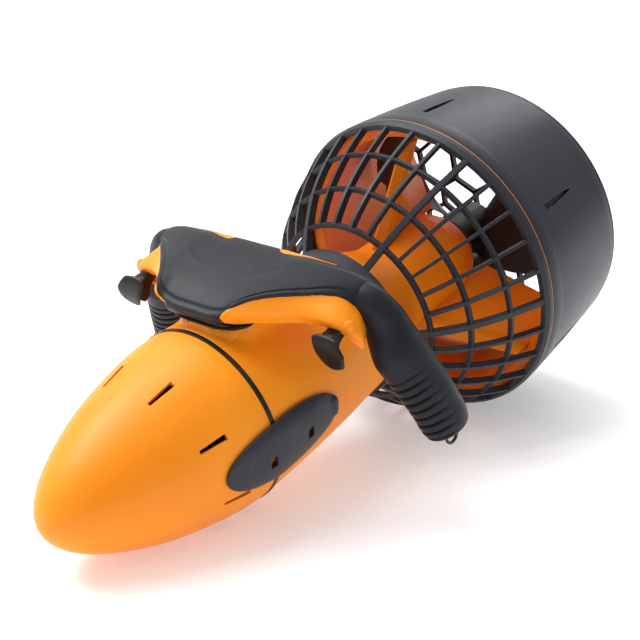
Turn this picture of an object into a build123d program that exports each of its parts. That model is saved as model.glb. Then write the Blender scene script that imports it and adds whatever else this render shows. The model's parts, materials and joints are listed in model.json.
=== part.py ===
from build123d import *
from math import atan2, cos, degrees, radians, sin
import os

os.makedirs("parts", exist_ok=True)

# An underwater scooter. Every piece is drawn about its thrust axis: X forward, Y to the rider's
# left, Z up, with x = 0 at the open front of the duct. place() then stands it on nose and duct.
REST_PITCH = 12.0  # nose-down angle at which it lies on a flat surface, in degrees

# Nose and battery body
NOSE_TIP = 440.0
JOINT_X = 274.0  # where nose and body meet
BODY_REAR = 110.0
WALL = 3.2
NOSE_LINE = [(JOINT_X, 75.2), (300, 73.6), (330, 67.8), (359, 60.2), (385, 50.2)]
NOSE_LINE += [(407, 39.2), (424, 27.4), (436, 13.6), (NOSE_TIP, 0)]
BODY_LINE = [(BODY_REAR, 61.2), (135, 63.8), (162, 67.2), (192, 70.2), (234, 73.4), (JOINT_X - 4, 75.2)]
SLOT_COUNT = 8
SLOT_X = 306.0  # where the flooding slots start, on average
SLOT_SLANT = 14.0  # how much further forward the upper slots sit
SLOT_LENGTH = 24.0

# Duct, stator and propeller
DUCT_FRONT = -6.0
DUCT_REAR = -132.0
DUCT_R_FRONT = 139.0
DUCT_R_REAR = 125.0
LINER_R = 120.0
HUB_R = 43.0
COLLAR_R = 66.0
RIB_LINE = [(108, 63.6), (89.9, 83.5), (64.5, 105.7), (32.9, 123.6), (0, 137.0)]
RIB_COUNT = 30
MAIN_EVERY = 5
MAIN_ANGLE = 30.0
VANE_COUNT = 3
BLADE_COUNT = 3
BLADE_ANGLE = 68.0
PROP_R = 115.0
PROP_X = -74.0
GRILLE_X = (-126.0, -121.0)
REAR_SCREW_R = 117.1
CELL_EDGE = 24.0
CELL_OFFSET = 7.0
SHAFT_R = 5.0
RUNNING_GAP = 0.05

# Handle
NECK_TOP = 77.0
BASE_TOP = 80.5
SKIN = 3.0  # thickness of the soft cover on the handle's top
PIVOT = (214.0, 83.0)  # trigger pivot, x and z
TRIGGER_Y = 104.0
PADDLE_Y = (93.0, 124.0)
PIN_Y = 102.5
LATCH_X = 262.0
LATCH_Z = -5.0
LATCH_HALF = (62.0, 23.5)
LATCH_PIN_X = 205.0
LATCH_PIN_Y = 75.7
# Cross-sections of the handle's wing: y, then corners as (x, z). The corners run from the lower
# front edge over the bulge of the front face, the cover's edge, the top and the rear edge.
WING = [
    (0.0, (256, 80), (266, 87), (267, 91.5), (250, 102), (196, 112), (181, 107), (183, 80)),
    (22.0, (257, 80), (266, 87), (267, 92), (250, 103), (196, 112), (181, 107), (183, 80)),
    (31.0, (256, 80), (265, 87), (265.5, 94), (248, 104.5), (196, 111.5), (180.5, 106.5), (182, 80)),
    (40.0, (250, 80), (260, 90), (261.5, 101.5), (243, 107), (195, 111.5), (179.5, 105), (181, 80)),
    (50.0, (243, 81), (250, 92), (248.5, 104), (233, 108), (194, 112), (178, 103.5), (180, 80)),
    (62.0, (236, 82), (242, 92), (236, 104), (222, 107.5), (192, 111.5), (177, 101.5), (180, 80)),
    (75.0, (226, 81), (232, 91), (224, 102), (212, 106), (189, 110), (175.5, 99), (180, 79)),
    (90.0, (218, 78), (226, 88), (210.5, 99.3), (202, 103.5), (186, 107), (174, 97), (179, 76)),
    (102.0, (220, 78), (223.5, 86), (202, 93), (196, 100), (184, 103), (173, 94), (178, 74)),
    (111.0, (211, 62), (220, 79), (198, 83), (194, 95), (186, 99), (173, 91), (176, 64)),
    (119.0, (205, 62), (212, 76), (200, 78), (195, 88), (188, 92), (177, 85), (178, 67)),
]
GRIP_PATH = [(190, 112, 77), (186, 120, 61), (180.5, 127, 43), (174.5, 134.5, 23)]
GRIP_PATH += [(169, 142, 3), (164.5, 148, -17), (162.5, 151, -29)]
GRIP_R = (22.3, 18.5)


def turned(*points):
    """A solid of revolution about X from a closed outline of (x, r) points."""
    outline = Plane.XZ * make_face(Polyline(*points, close=True))
    return revolve(outline, Axis.X, 360)


def turned_shell(line, wall, end_wall=0.0):
    """A thin wall of revolution whose outside runs smoothly through line."""
    outer = Spline(*line)
    inner_pts = [(x, r - wall) for x, r in line if r > wall]
    if line[-1][1] == 0:
        inner_pts.append((line[-1][0] - end_wall, 0))
    inner = Spline(*inner_pts)
    sides = [Line(line[0], inner_pts[0])]
    if outer @ 1 != inner @ 1:
        sides.append(Line(line[-1], inner_pts[-1]))
    return revolve(Plane.XZ * make_face([outer, inner] + sides), Axis.X, 360)


def filled(line):
    """The solid inside a profile that runs smoothly through line."""
    edges = [Spline(*line), Line(line[0], (line[0][0], 0)), Line((line[0][0], 0), (line[-1][0], 0))]
    if line[-1][1] > 0:
        edges.append(Line((line[-1][0], 0), line[-1]))
    return revolve(Plane.XZ * make_face(edges), Axis.X, 360)


def tube(x0, x1, r_out, r_in=0.0):
    """A straight tube along X."""
    ring = Circle(r_out) - Circle(r_in) if r_in else Circle(r_out)
    return extrude(Plane((x0, 0, 0), x_dir=(0, 1, 0), z_dir=(1, 0, 0)) * ring, x1 - x0)


def spun(shape, angle):
    """shape turned about the thrust axis, from the top towards the left side."""
    return Rot(-angle, 0, 0) * shape


def mirrored(shape):
    return mirror(shape, Plane.XZ)


def radial_slot(x_blunt, x_fine, half_blunt, half_fine, r_in, r_out):
    """A cutter for a slot that is wide and square at one end and tapers to the other."""
    outline = Polyline(
        (x_blunt, -half_blunt), (x_blunt, half_blunt), (x_fine, half_fine), (x_fine, -half_fine), close=True
    )
    return extrude(Plane((0, 0, r_in), x_dir=(1, 0, 0), z_dir=(0, 0, 1)) * make_face(outline), r_out - r_in)


def nose_cone():
    cone = turned_shell(NOSE_LINE, WALL, end_wall=4.0)
    for i in range(SLOT_COUNT):
        angle = 22.5 + 45 * i
        start = SLOT_X + SLOT_SLANT * cos(radians(angle))
        cone -= spun(radial_slot(start, start + SLOT_LENGTH, 2.5, 1.5, 40, 90), angle)
    return cone


def nose_gasket():
    return turned((JOINT_X - 3.8, 71.4), (JOINT_X - 3.8, 76.0), (JOINT_X - 0.2, 76.0), (JOINT_X - 0.2, 71.4))


def neck_outline(inset):
    half = [(182, 0), (182, 32), (200, 36), (238, 38), (252, 32), (258, 16), (259, 0)]
    side = [(x + (inset if x < 200 else -inset if x > 245 else 0), max(y - inset, 0)) for x, y in half]
    other = [(x, -y) for x, y in reversed(side[1:-1])]
    return make_face(Polyline(*side, *other, close=True))


def latch_ears():
    """The two ears that hold a side latch's pin, on the left side."""
    ears = []
    for dz in (-8.6, 8.6):
        ears.append(Pos(LATCH_PIN_X, LATCH_PIN_Y - 2.6, LATCH_Z + dz) * Box(6.4, 10.6, 2.6))
    pin_hole = Pos(LATCH_PIN_X, LATCH_PIN_Y, LATCH_Z) * Cylinder(1.42, 40)
    return (ears[0] + ears[1]) - pin_hole


def body_shell():
    shell = filled(BODY_LINE)
    shell += extrude(Plane.XY.offset(45) * neck_outline(1.0), NECK_TOP - 45)
    shell += latch_ears() + mirrored(latch_ears())
    cavity_line = [(x, r - WALL) for x, r in BODY_LINE]
    shell -= filled(cavity_line)
    shell -= tube(BODY_REAR - 5, BODY_REAR + 16, 57.6)
    face = JOINT_X - 4
    spigot = turned((254, 72.3), (face, 72.9), (face, 71.4), (284, 71.4), (284, 68.4), (262, 68.4))
    return shell + spigot


def battery_lid():
    lid = turned((270, 0), (270, 68.2), (275, 68.2), (279, 60), (279, 0))
    groove = turned((271.4, 66.4), (271.4, 69), (274.0, 69), (274.0, 66.4))
    grip_bar = Pos(286, 0, 0) * Box(16, 10, 70)
    return lid - groove + fillet(grip_bar.edges().filter_by(Axis.X), 4)


def battery_lid_seal():
    return turned((271.6, 66.6), (271.6, 68.35), (273.8, 68.35), (273.8, 66.6))


def battery_pack():
    case = Pos(198, 0, 0) * Box(132, 65, 92)
    return fillet(case.edges().filter_by(Axis.X), 5)


def battery_terminals():
    tab = Pos(130.4, 0, 0) * Box(3.2, 6, 12)
    return [Pos(0, -20, 30) * tab, Pos(0, 20, 30) * tab]


def controller():
    case = Pos(116, 0, -8) * Box(18, 56, 44)
    return fillet(case.edges().filter_by(Axis.X), 3)


def wing(corner_rows):
    """A ruled body through cross-sections from one wing end to the other."""
    rows = [(-y, c) for y, c in reversed(corner_rows[1:])] + corner_rows
    faces = [make_face(Polyline(*[(x, y, z) for x, z in c], close=True)) for y, c in rows]
    return loft(faces, ruled=True)


def under_cover(p, t, r):
    """The corners of the face between frame and cover, from front to rear."""
    return [(p[0], p[1] - SKIN), (t[0] + 1, t[1] - SKIN), (r[0] + SKIN, r[1] - 1)]


def handle_frame_rows():
    return [(y, [a, m, e] + under_cover(p, t, r) + [b]) for y, a, m, e, p, t, r, b in WING]


def handle_cover_rows():
    return [(y, [e, p, t, r, b] + under_cover(p, t, r)[::-1]) for y, a, m, e, p, t, r, b in WING]


def trigger_pocket():
    """The space in the handle's underside that the left trigger swings in."""
    return Pos(213.3, 102.2, 73.5) * Box(16.4, 17.2, 28)


def screw_points():
    return [(198, 20), (198, -20), (236, 20), (236, -20)]


def handle_frame():
    frame = wing(handle_frame_rows())
    frame -= extrude(Plane.XY.offset(NECK_TOP) * neck_outline(0.0), BASE_TOP - NECK_TOP)
    for pocket in (trigger_pocket(), mirrored(trigger_pocket())):
        frame -= pocket
    for side in (1, -1):
        frame -= Pos(PIVOT[0], side * PIN_Y, PIVOT[1]) * Rot(90, 0, 0) * Cylinder(2.0, 24)
        frame -= Pos(189, side * 90, 84) * Box(11, 13, 9)
    for x, y in screw_points():
        frame -= Pos(x, y, 84) * Cylinder(1.9, 12)
    return frame


def handle_cover():
    return wing(handle_cover_rows())


def handle_base():
    plate = extrude(Plane.XY.offset(NECK_TOP) * neck_outline(0.0), BASE_TOP - NECK_TOP)
    for x, y in screw_points():
        plate -= Pos(x, y, 79) * Cylinder(2.1, 12)
    return plate


def handle_screws():
    """Four screws from the neck up into the handle."""
    screws = []
    for x, y in screw_points():
        screws.append(Pos(x, y, 83.4) * Cylinder(1.85, 12.6))
    return screws


def grip_left():
    """The left grip: a tapering oval bar with finger ribs, hanging from the wing end."""
    path = Spline(*GRIP_PATH)
    sections = []
    for t, swell in ((0.0, 0.98), (0.25, 1.02), (0.5, 1.0), (0.75, 0.98), (0.93, 0.92), (1.0, 0.78)):
        here = Plane(path @ t, x_dir=(1, 0, 0), z_dir=path % t)
        sections.append(here * Ellipse(GRIP_R[0] * swell, GRIP_R[1] * swell))
    bar = loft(sections)
    for t in (0.44, 0.52, 0.6, 0.68, 0.76, 0.84, 0.92):
        here = Plane(path @ t, x_dir=(1, 0, 0), z_dir=path % t)
        groove = here * (Pos(29.0, 0, 0) * Box(16, 60, 2.2))
        bar -= groove
    bar -= wing([(row[0], list(row[1:])) for row in WING])
    return bar - lanyard_loop_left()


def lanyard_loop_left():
    """A wire eye at the foot of the left grip."""
    path = Spline(*GRIP_PATH)
    foot = path @ 1
    down = path % 1
    eye = Torus(6.5, 1.3)
    return Pos(foot + down * 4.2) * Rot(90, 0, 0) * eye


def trigger_left():
    """A curved lever: a hub on the pin, a short arm and a wide finger paddle in front of the grip."""
    x, z = PIVOT
    hub = Pos(x, TRIGGER_Y, z) * Rot(90, 0, 0) * Cylinder(4.2, 12.0)
    arm = Polyline(
        (x - 3, z - 3), (x, z + 3), (x + 4, z - 2), (x + 6, z - 7), (x + 13, z - 7.5), (x + 17, z - 4),
        (x + 18, z - 8), (x + 14, z - 11.5), (x + 5, z - 11), close=True
    )
    front = [(x + 17, z - 2), (x + 22, z - 4), (x + 25.5, z - 11), (x + 25, z - 19)]
    front += [(x + 21.5, z - 26), (x + 18, z - 29)]
    back = [(x + 16, z - 27), (x + 19, z - 23), (x + 21, z - 17), (x + 21.5, z - 11)]
    back += [(x + 19, z - 6.5), (x + 15, z - 5)]
    lever = hub + extrude(Plane.XZ.offset(-TRIGGER_Y) * make_face(arm), 5.5, both=True)
    middle = (PADDLE_Y[0] + PADDLE_Y[1]) / 2
    paddle = make_face(Polyline(*front, *back, close=True))
    lever += extrude(Plane.XZ.offset(-middle) * paddle, PADDLE_Y[1] - middle, both=True)
    return lever - Pos(x, TRIGGER_Y, z) * Rot(90, 0, 0) * Cylinder(2.0 + RUNNING_GAP, 40)


def trigger_spring_left():
    """The coils of the return spring, beside the trigger's hub."""
    coil = Torus(3.0, 0.6)
    return [Pos(PIVOT[0], TRIGGER_Y - dy, PIVOT[1]) * Rot(90, 0, 0) * coil for dy in (7.6, 9.0)]


def trigger_pin_left():
    return Pos(PIVOT[0], PIN_Y, PIVOT[1]) * Rot(90, 0, 0) * Cylinder(2.0 - 0.02, 23.6)


def trigger_switch_left():
    return Pos(189, 90, 84) * Box(10.6, 12.6, 8.6)


def latch_left():
    """The left side latch: an oval plate that bridges the joint between nose and body."""
    line = [(196, 70.6), (215, 72.1), (234, 73.4), (255, 74.8), (274, 75.9), (295, 74.3)]
    line += [(312, 71.8), (328, 68.2)]
    inside = [(x, r + 0.5) for x, r in line]
    outside = [(x, r + 6.0) for x, r in reversed(line)]
    sleeve = turned(*inside, *outside)
    oval = extrude(Plane.XZ * Pos(LATCH_X, LATCH_Z) * Ellipse(*LATCH_HALF), -100)
    plate = sleeve & oval
    for x in (239, 283):
        plate -= Pos(x, 76, LATCH_Z - 4) * Box(7, 24, 9)
    tail = Pos(LATCH_PIN_X - 10, LATCH_PIN_Y, LATCH_Z) * Box(20, 30, 60)
    plate -= tail - Pos(LATCH_PIN_X, LATCH_PIN_Y, LATCH_Z) * Cylinder(3.4, 60)
    for dz in (-8.6, 8.6):
        plate -= Pos(LATCH_PIN_X, 74, LATCH_Z + dz) * Box(11, 20, 3.4)
    return plate - Pos(LATCH_PIN_X, LATCH_PIN_Y, LATCH_Z) * Cylinder(1.4 + RUNNING_GAP, 40)


def latch_pin_left():
    return Pos(LATCH_PIN_X, LATCH_PIN_Y, LATCH_Z) * Cylinder(1.4, 20.4)


def rib(thickness, line):
    """One bar of the front grille, in the plane through the thrust axis and the top."""
    deep = [(x - 5.2 * x / 110 - 1.0, r - 5.6 + 1.5 * x / 110) for x, r in line]
    face = make_face([Spline(*line), Line(line[-1], deep[-1]), Spline(*deep[::-1]), Line(deep[0], line[0])])
    return extrude(Plane.XZ * face, thickness / 2, both=True)


def front_grille():
    collar = turned((104, 62.6), (104, COLLAR_R + 0.4), (118, 65.2), (118, 62.6))
    lip = [(-1.5, DUCT_R_FRONT), (2.5, 137.0), (3.0, 132.5), (0, 131.5)]
    rim = turned((DUCT_FRONT, 131.5), (DUCT_FRONT, DUCT_R_FRONT), *lip)
    grille = collar + rim
    rings = []
    for x, r in RIB_LINE[1:4]:
        rings.append(turned((x - 3.6, r - 4.4), (x + 0.6, r - 4.0), (x + 0.4, r + 0.2), (x - 3.4, r - 0.2)))
    bars = []
    for i in range(RIB_COUNT):
        angle = MAIN_ANGLE + i * 360 / RIB_COUNT
        if i % MAIN_EVERY == 0:
            bars.append(spun(rib(4.8, RIB_LINE), angle))
        else:
            bars.append(spun(rib(2.8, RIB_LINE[1:]), angle))
    grille = grille.fuse(*rings, *bars)
    return grille - turned((70, 0), (70, 48.9), (84, 53.8), (103.5, 61.8), (110, 62.3), (110, 0))


def duct_radius(x):
    """Outside radius of the duct at x."""
    return DUCT_R_FRONT + (DUCT_R_REAR - DUCT_R_FRONT) * (DUCT_FRONT - x) / (DUCT_FRONT - DUCT_REAR)


def duct():
    wall = 3.4
    line = [(DUCT_FRONT, DUCT_R_FRONT), (-40, duct_radius(-40) + 0.9), (-85, duct_radius(-85) + 1.2)]
    line += [(-122, duct_radius(-122) + 0.4), (DUCT_REAR + 1.5, DUCT_R_REAR - 0.6)]
    outer = Spline(*line)
    bottom = [(DUCT_REAR, DUCT_R_REAR - 2.4), (DUCT_REAR, DUCT_R_REAR - 5.5), (-126.5, DUCT_R_REAR - 5.5)]
    inner = [(-126.5, 122.2), (-118, duct_radius(-118) - wall), (-20, duct_radius(-20) - wall)]
    inner += [(-12, 131.5), (DUCT_FRONT, 131.5)]
    shell = revolve(Plane.XZ * make_face([outer, Polyline(line[-1], *bottom, *inner, line[0])]), Axis.X, 360)
    slot = radial_slot(-34, -78, 2.8, 1.0, 110, 150)
    for i in range(6):
        shell -= spun(slot, 60 * i)
    return shell


def hull_seal():
    """The ring that seals the stator's spigot in the rear of the body."""
    return turned((114.3, 55.4), (114.3, 57.5), (116.7, 57.5), (116.7, 55.4))


def flow_vane():
    """One stator vane at the top: a wedge-nosed plate that sweeps back from the hub to the liner."""
    sections = []
    for r, x_front, skew in ((38, 62, 13), (122, 1, 36)):
        pts = [(x_front, 0.8), (x_front, -0.8), (x_front - 9, -5.0), (x_front - 18, -5.0)]
        pts += [(-44, skew - 1.0), (-44, skew + 1.0), (x_front - 18, 5.0), (x_front - 9, 5.0)]
        plane = Plane((0, 0, r), x_dir=(1, 0, 0), z_dir=(0, 0, 1))
        sections.append(plane * make_face(Polyline(*[(x, -y) for x, y in pts], close=True)))
    return loft(sections, ruled=True) & tube(-60, 110, LINER_R - 0.03)


def stator():
    """Hub and three vanes, moulded as one."""
    outer = [(124, 57.2), (117, 57.2), (117, 55.2), (114, 55.2), (114, 57.2), (108, 57.2), (108, 61.0)]
    outer += [(103.5, 61.5), (84, 53.5), (62, 45.5), (50, HUB_R)]
    outer += [(-16, HUB_R), (-28, 40.5), (-37, 35), (-42, 26), (-42, 9.2)]
    seal_pocket = [(-34, 9.2), (-34, 7.0), (-25, 7.0), (-25, 11.0)]
    inner = [(-14, 11.0), (-14, 38.6), (50, 38.6), (84, 49.0), (103.5, 53.6), (124, 53.6)]
    hub = turned(*outer, *seal_pocket, *inner)
    vanes = [spun(flow_vane(), i * 360 / VANE_COUNT) for i in range(VANE_COUNT)]
    bore = tube(-60, 60, 38.0) & tube(-13.9, 60, 38.6)
    return hub.fuse(*vanes) - bore


def duct_liner():
    """The ring inside the duct that the vane tips are bonded to."""
    outside = [(-108, LINER_R + 2.4), (-16, LINER_R + 2.4), (-12, 131.2), (-9.6, 131.2)]
    return turned((-14, LINER_R), (-108, LINER_R), *outside, (-9.6, 128.5), (-12, LINER_R + 1.5))


def blade():
    """One propeller blade at the top, pitched and wide."""
    sections = []
    stations = [(20, 46, 50, 5.0), (45, 80, 38, 4.0), (80, 98, 25, 2.8), (116, 96, 17, 1.8)]
    for r, chord, pitch, thick in stations:  # radius, chord, pitch angle and thickness
        half = chord / 2
        outline = Spline((-half, 0), (0, thick / 2), (half, 0))
        under = Spline((half, 0), (0, -thick / 2), (-half, 0))
        plane = Plane((PROP_X, 0, r), x_dir=(sin(radians(pitch)), cos(radians(pitch)), 0), z_dir=(0, 0, 1))
        sections.append(plane * make_face([outline, under]))
    return loft(sections) & tube(-110, -40, PROP_R)


def propeller():
    hub = turned((-45, 0), (-45, 20), (-50, 25), (-92, 25), (-98, 20), (-98, 0))
    blades = [spun(blade(), BLADE_ANGLE + i * 360 / BLADE_COUNT) for i in range(BLADE_COUNT)]
    prop = hub.fuse(*blades)
    prop -= tube(-120, -40, SHAFT_R + 0.02)
    prop -= Pos(-88, 0, 0) * Cylinder(2.02, 30)
    return prop


def shaft():
    rod = tube(-106, 72, SHAFT_R)
    return rod - Pos(-88, 0, 0) * Cylinder(2.02, 30)


def shear_pin():
    return Pos(-88, 0, 0) * Cylinder(2.0, 29)


def propeller_nut():
    nut = extrude(Plane((-105, 0, 0), x_dir=(0, 1, 0), z_dir=(1, 0, 0)) * RegularPolygon(9, 6), 6.8)
    return nut - tube(-110, -90, SHAFT_R + 0.02)


def shaft_bearing():
    return tube(-24.9, -14.1, 10.95, SHAFT_R + RUNNING_GAP)


def shaft_seal():
    return tube(-41.5, -34.2, 9.1, SHAFT_R + RUNNING_GAP)


def motor():
    can = tube(-13.6, 68, 36.0) + tube(68, 74, 22.0)
    return can - tube(-20, 73, SHAFT_R + RUNNING_GAP)


def motor_plate():
    """The plate that closes the motor chamber and holds the motor's front end."""
    plate = turned((76, 10), (76, 45.0), (82, 47.2), (86, 48.2), (86, 10))
    return plate


def bar_between(p, q, width, x0, x1):
    """A straight bar of the rear grille from p to q, given as (angle, radius)."""
    a = Vector(p[1] * sin(radians(p[0])), p[1] * cos(radians(p[0])))
    b = Vector(q[1] * sin(radians(q[0])), q[1] * cos(radians(q[0])))
    mid = (a + b) * 0.5
    along = b - a
    plane = Plane((x0, mid.X, mid.Y), x_dir=(0, along.X, along.Y), z_dir=(1, 0, 0))
    return extrude(plane * Rectangle(along.length + width * 0.8, width), x1 - x0)


def cell_corner(i, j, which):
    """A corner of the rear guard's cells, as (angle, radius). Corners are pushed round a little unevenly."""
    across = CELL_EDGE * 3 ** 0.5
    y = across * (i + j / 2)
    z = 1.5 * CELL_EDGE * j + (CELL_EDGE if which else -CELL_EDGE) + CELL_OFFSET
    radius = (y * y + z * z) ** 0.5
    angle = degrees(atan2(y, z))
    return angle + 4.0 * sin(radians(3 * angle + radius)), radius * (1 + 0.05 * cos(radians(2 * angle)))


def cell_bars():
    """Every bar of the cell pattern that starts inside the rim, as pairs of corners."""
    bars = []
    for i in range(-5, 6):
        for j in range(-5, 6):
            top = cell_corner(i, j, True)
            for di, dj in ((0, 1), (-1, 1), (-1, 2)):
                bottom = cell_corner(i + di, j + dj, False)
                if min(top[1], bottom[1]) < 112:
                    bars.append((top, bottom))
    return bars


def rear_grille():
    """A flat guard whose bars make five- and six-sided cells."""
    x0, x1 = GRILLE_X
    rim = tube(x0, x1, 121.6, 114.6)
    bars = [bar_between(p, q, 3.4, x0, x1) for p, q in cell_bars()]
    guard = rim.fuse(*bars) & tube(x0, x1, 121.6)
    for i in range(4):
        guard -= spun(Pos(0, 0, REAR_SCREW_R) * tube(x0, x0 + 3.6, 1.25), 45 + 90 * i)
    return guard


def rear_screws():
    screw = tube(GRILLE_X[0] - 1.8, GRILLE_X[0], 2.3) + tube(GRILLE_X[0], GRILLE_X[0] + 3.5, 1.2)
    return [spun(Pos(0, 0, REAR_SCREW_R) * screw, 45 + 90 * i) for i in range(4)]


def half_pair(name, shape):
    return {name + "_left": shape, name + "_right": mirrored(shape)}


def build_all():
    pieces = {
        "nose_cone": nose_cone(),
        "nose_gasket": nose_gasket(),
        "body_shell": body_shell(),
        "battery_lid": battery_lid(),
        "battery_lid_seal": battery_lid_seal(),
        "battery_pack": battery_pack(),
        "battery_terminals": battery_terminals(),
        "controller": controller(),
        "handle_frame": handle_frame(),
        "handle_cover": handle_cover(),
        "handle_base": handle_base(),
        "handle_screws": handle_screws(),
        "front_grille": front_grille(),
        "duct": duct(),
        "stator": stator(),
        "duct_liner": duct_liner(),
        "hull_seal": hull_seal(),
        "propeller": propeller(),
        "propeller_shaft": shaft(),
        "shear_pin": shear_pin(),
        "propeller_nut": propeller_nut(),
        "shaft_bearing": shaft_bearing(),
        "shaft_seal": shaft_seal(),
        "motor": motor(),
        "motor_plate": motor_plate(),
        "rear_grille": rear_grille(),
        "rear_grille_screws": rear_screws(),
    }
    pieces.update(half_pair("grip", grip_left()))
    pieces.update(half_pair("lanyard_loop", lanyard_loop_left()))
    pieces.update(half_pair("trigger", trigger_left()))
    pieces.update(half_pair("trigger_pin", trigger_pin_left()))
    pieces["trigger_spring_left"] = trigger_spring_left()
    pieces["trigger_spring_right"] = [mirrored(coil) for coil in trigger_spring_left()]
    pieces.update(half_pair("trigger_switch", trigger_switch_left()))
    pieces.update(half_pair("side_latch", latch_left()))
    pieces.update(half_pair("latch_pin", latch_pin_left()))
    return pieces


def place(pieces):
    """Stands the scooter on its nose and duct, with the middle of its base at the origin."""
    tilted = {}
    for name, shape in pieces.items():
        solids = shape if isinstance(shape, list) else [shape]
        tilted[name] = Compound([s for part in solids for s in (Rot(0, REST_PITCH, 0) * part).solids()])
    box = Compound(list(tilted.values())).bounding_box()
    shift = Pos(-(box.min.X + box.max.X) / 2, 0, -box.min.Z)
    return {name: shift * shape for name, shape in tilted.items()}


for name, shape in place(build_all()).items():
    export_step(shape, "parts/" + name + ".step")
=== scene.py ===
import bmesh
import bpy
import json
import math
import numpy as np
from mathutils import Matrix, Vector


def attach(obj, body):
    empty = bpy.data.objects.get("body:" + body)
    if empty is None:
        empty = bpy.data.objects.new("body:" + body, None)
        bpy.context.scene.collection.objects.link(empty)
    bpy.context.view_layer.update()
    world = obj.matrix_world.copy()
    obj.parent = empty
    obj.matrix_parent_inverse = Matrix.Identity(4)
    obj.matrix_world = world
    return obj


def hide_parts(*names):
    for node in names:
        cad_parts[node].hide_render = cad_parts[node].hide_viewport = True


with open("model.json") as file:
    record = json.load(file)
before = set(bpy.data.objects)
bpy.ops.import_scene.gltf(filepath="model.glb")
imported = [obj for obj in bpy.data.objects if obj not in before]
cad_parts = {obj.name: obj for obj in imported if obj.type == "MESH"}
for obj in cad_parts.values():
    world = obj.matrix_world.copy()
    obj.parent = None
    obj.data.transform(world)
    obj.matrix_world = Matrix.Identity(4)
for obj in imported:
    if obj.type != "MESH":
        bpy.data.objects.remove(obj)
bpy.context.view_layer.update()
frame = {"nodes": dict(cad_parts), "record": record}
NODES = frame["nodes"]

# Every shape is drawn in millimetres about the thrust axis (X forward, Y to the rider's left, Z up),
# as in part.py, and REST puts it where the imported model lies.
MM = 0.001
REST = Matrix.Translation((-0.138079, 0.0, 0.135651)) @ Matrix.Rotation(math.radians(12.0), 4, "Y")
TO_ROW = REST @ Matrix.Scale(MM, 4)

# (x, radius) of the body, and of the surface under the side latches
BODY_LINE = [(110, 61.2), (135, 63.8), (162, 67.2), (192, 70.2), (234, 73.4), (270, 75.2)]
LATCH_LINE = [(196, 70.6), (215, 72.1), (234, 73.4), (255, 74.8), (274, 75.9), (295, 74.3)]
LATCH_LINE += [(312, 71.8), (328, 68.2)]
BODY_WALL = 2.6
NECK_MIDDLE = 220.0  # x of the neck's middle
NECK_TOP = 80.8
LATCH_CENTRE = (262.0, -5.0)  # x and z
LATCH_HALF = (62.0, 23.5)
LATCH_PIN = (205.0, 75.7)  # x and y
PIVOT = (214.0, 83.0)  # x and z of the trigger's pin
# Cross-sections of the handle's wing: y, then (x, z) of the lower front edge, the front bulge, the
# cover's edge, the top front, the ridge, the rear edge and the rear bottom.
WING = [
    (0.0, (256, 80), (266, 87), (267, 91.5), (250, 102), (196, 112), (181, 107), (183, 80)),
    (22.0, (257, 80), (266, 87), (267, 92), (250, 103), (196, 112), (181, 107), (183, 80)),
    (31.0, (256, 80), (265, 87), (265.5, 94), (248, 104.5), (196, 111.5), (180.5, 106.5), (182, 80)),
    (40.0, (250, 80), (260, 90), (261.5, 101.5), (243, 107), (195, 111.5), (179.5, 105), (181, 80)),
    (50.0, (243, 81), (250, 92), (248.5, 104), (233, 108), (194, 112), (178, 103.5), (180, 80)),
    (62.0, (236, 82), (242, 92), (236, 104), (222, 107.5), (192, 111.5), (177, 101.5), (180, 80)),
    (75.0, (226, 81), (232, 91), (224, 102), (212, 106), (189, 110), (175.5, 99), (180, 79)),
    (90.0, (218, 78), (226, 88), (210.5, 99.3), (202, 103.5), (186, 107), (174, 97), (179, 76)),
    (102.0, (220, 78), (223.5, 86), (202, 93), (196, 100), (184, 103), (173, 94), (178, 74)),
    (111.0, (211, 62), (220, 79), (198, 83), (194, 95), (186, 99), (173, 91), (176, 64)),
    (119.0, (205, 62), (212, 76), (200, 78), (195, 88), (188, 92), (177, 85), (178, 67)),
]
# The orange crescent, from the prow out over the cheek: (x, y, z) on its upper edge, its bulge and its
# lower edge.
CRESCENT = [
    ((265, 28, 92), (264, 28.5, 89.5), (261, 29, 87)),
    ((268, 34, 96.5), (264, 34.5, 91.5), (256, 34, 85.5)),
    ((265, 39.3, 101), (259.5, 41, 93), (251, 41, 84)),
    ((258, 44, 103), (254.5, 46.5, 93.5), (247.5, 46.5, 83.5)),
    ((251, 48, 104), (250, 52, 93.5), (244, 52, 83)),
    ((239, 59, 104), (242.5, 62, 93), (238, 61, 82.5)),
    ((231, 67, 103), (236, 70.5, 92.5), (231, 70, 81.5)),
    ((224, 75, 102), (231, 79, 91.5), (225, 79, 80)),
    ((216, 83, 101), (227.5, 88, 90), (222, 88, 79.5)),
    ((210, 91, 99), (225.5, 97, 88.5), (221, 97, 78.5)),
    ((205, 97, 97), (223, 105.5, 86), (221, 104, 78)),
    ((202, 102, 93), (220, 112, 82.5), (220.5, 109, 76.5)),
    ((199, 105, 89), (217.5, 116, 79), (219, 111.5, 73.5)),
    ((197, 108, 85), (214.5, 118.5, 75), (217, 112.5, 70)),
    ((197, 110, 78), (211.5, 119, 69.5), (214, 113, 66)),
    ((198, 112, 71), (209, 118, 65), (211.5, 113, 62.5)),
    ((200, 112, 65), (207.5, 116, 61), (209, 112.8, 60)),
    ((203, 113, 60), (206, 114.2, 58.2), (207, 112.6, 58)),
    ((205.5, 112.2, 57.2), (206, 112.6, 57.1), (206.3, 112.3, 57)),
]
SHOULDER = [(192.5, 99, 87), (192, 107, 84.5), (190.5, 113.5, 76.5)]
GRIP_PATH = [(186, 120, 61), (180.5, 127, 43), (174.5, 134.5, 23)]
GRIP_PATH += [(169, 142, 3), (164.5, 148, -17), (162.5, 151, -29)]
GRIP_R = (22.3, 18.5)
RIB_PITCH = 0.065  # of the grip's length
DUCT_FRONT = -6.0
DUCT_REAR = -132.0
DUCT_R_FRONT = 139.0
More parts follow.
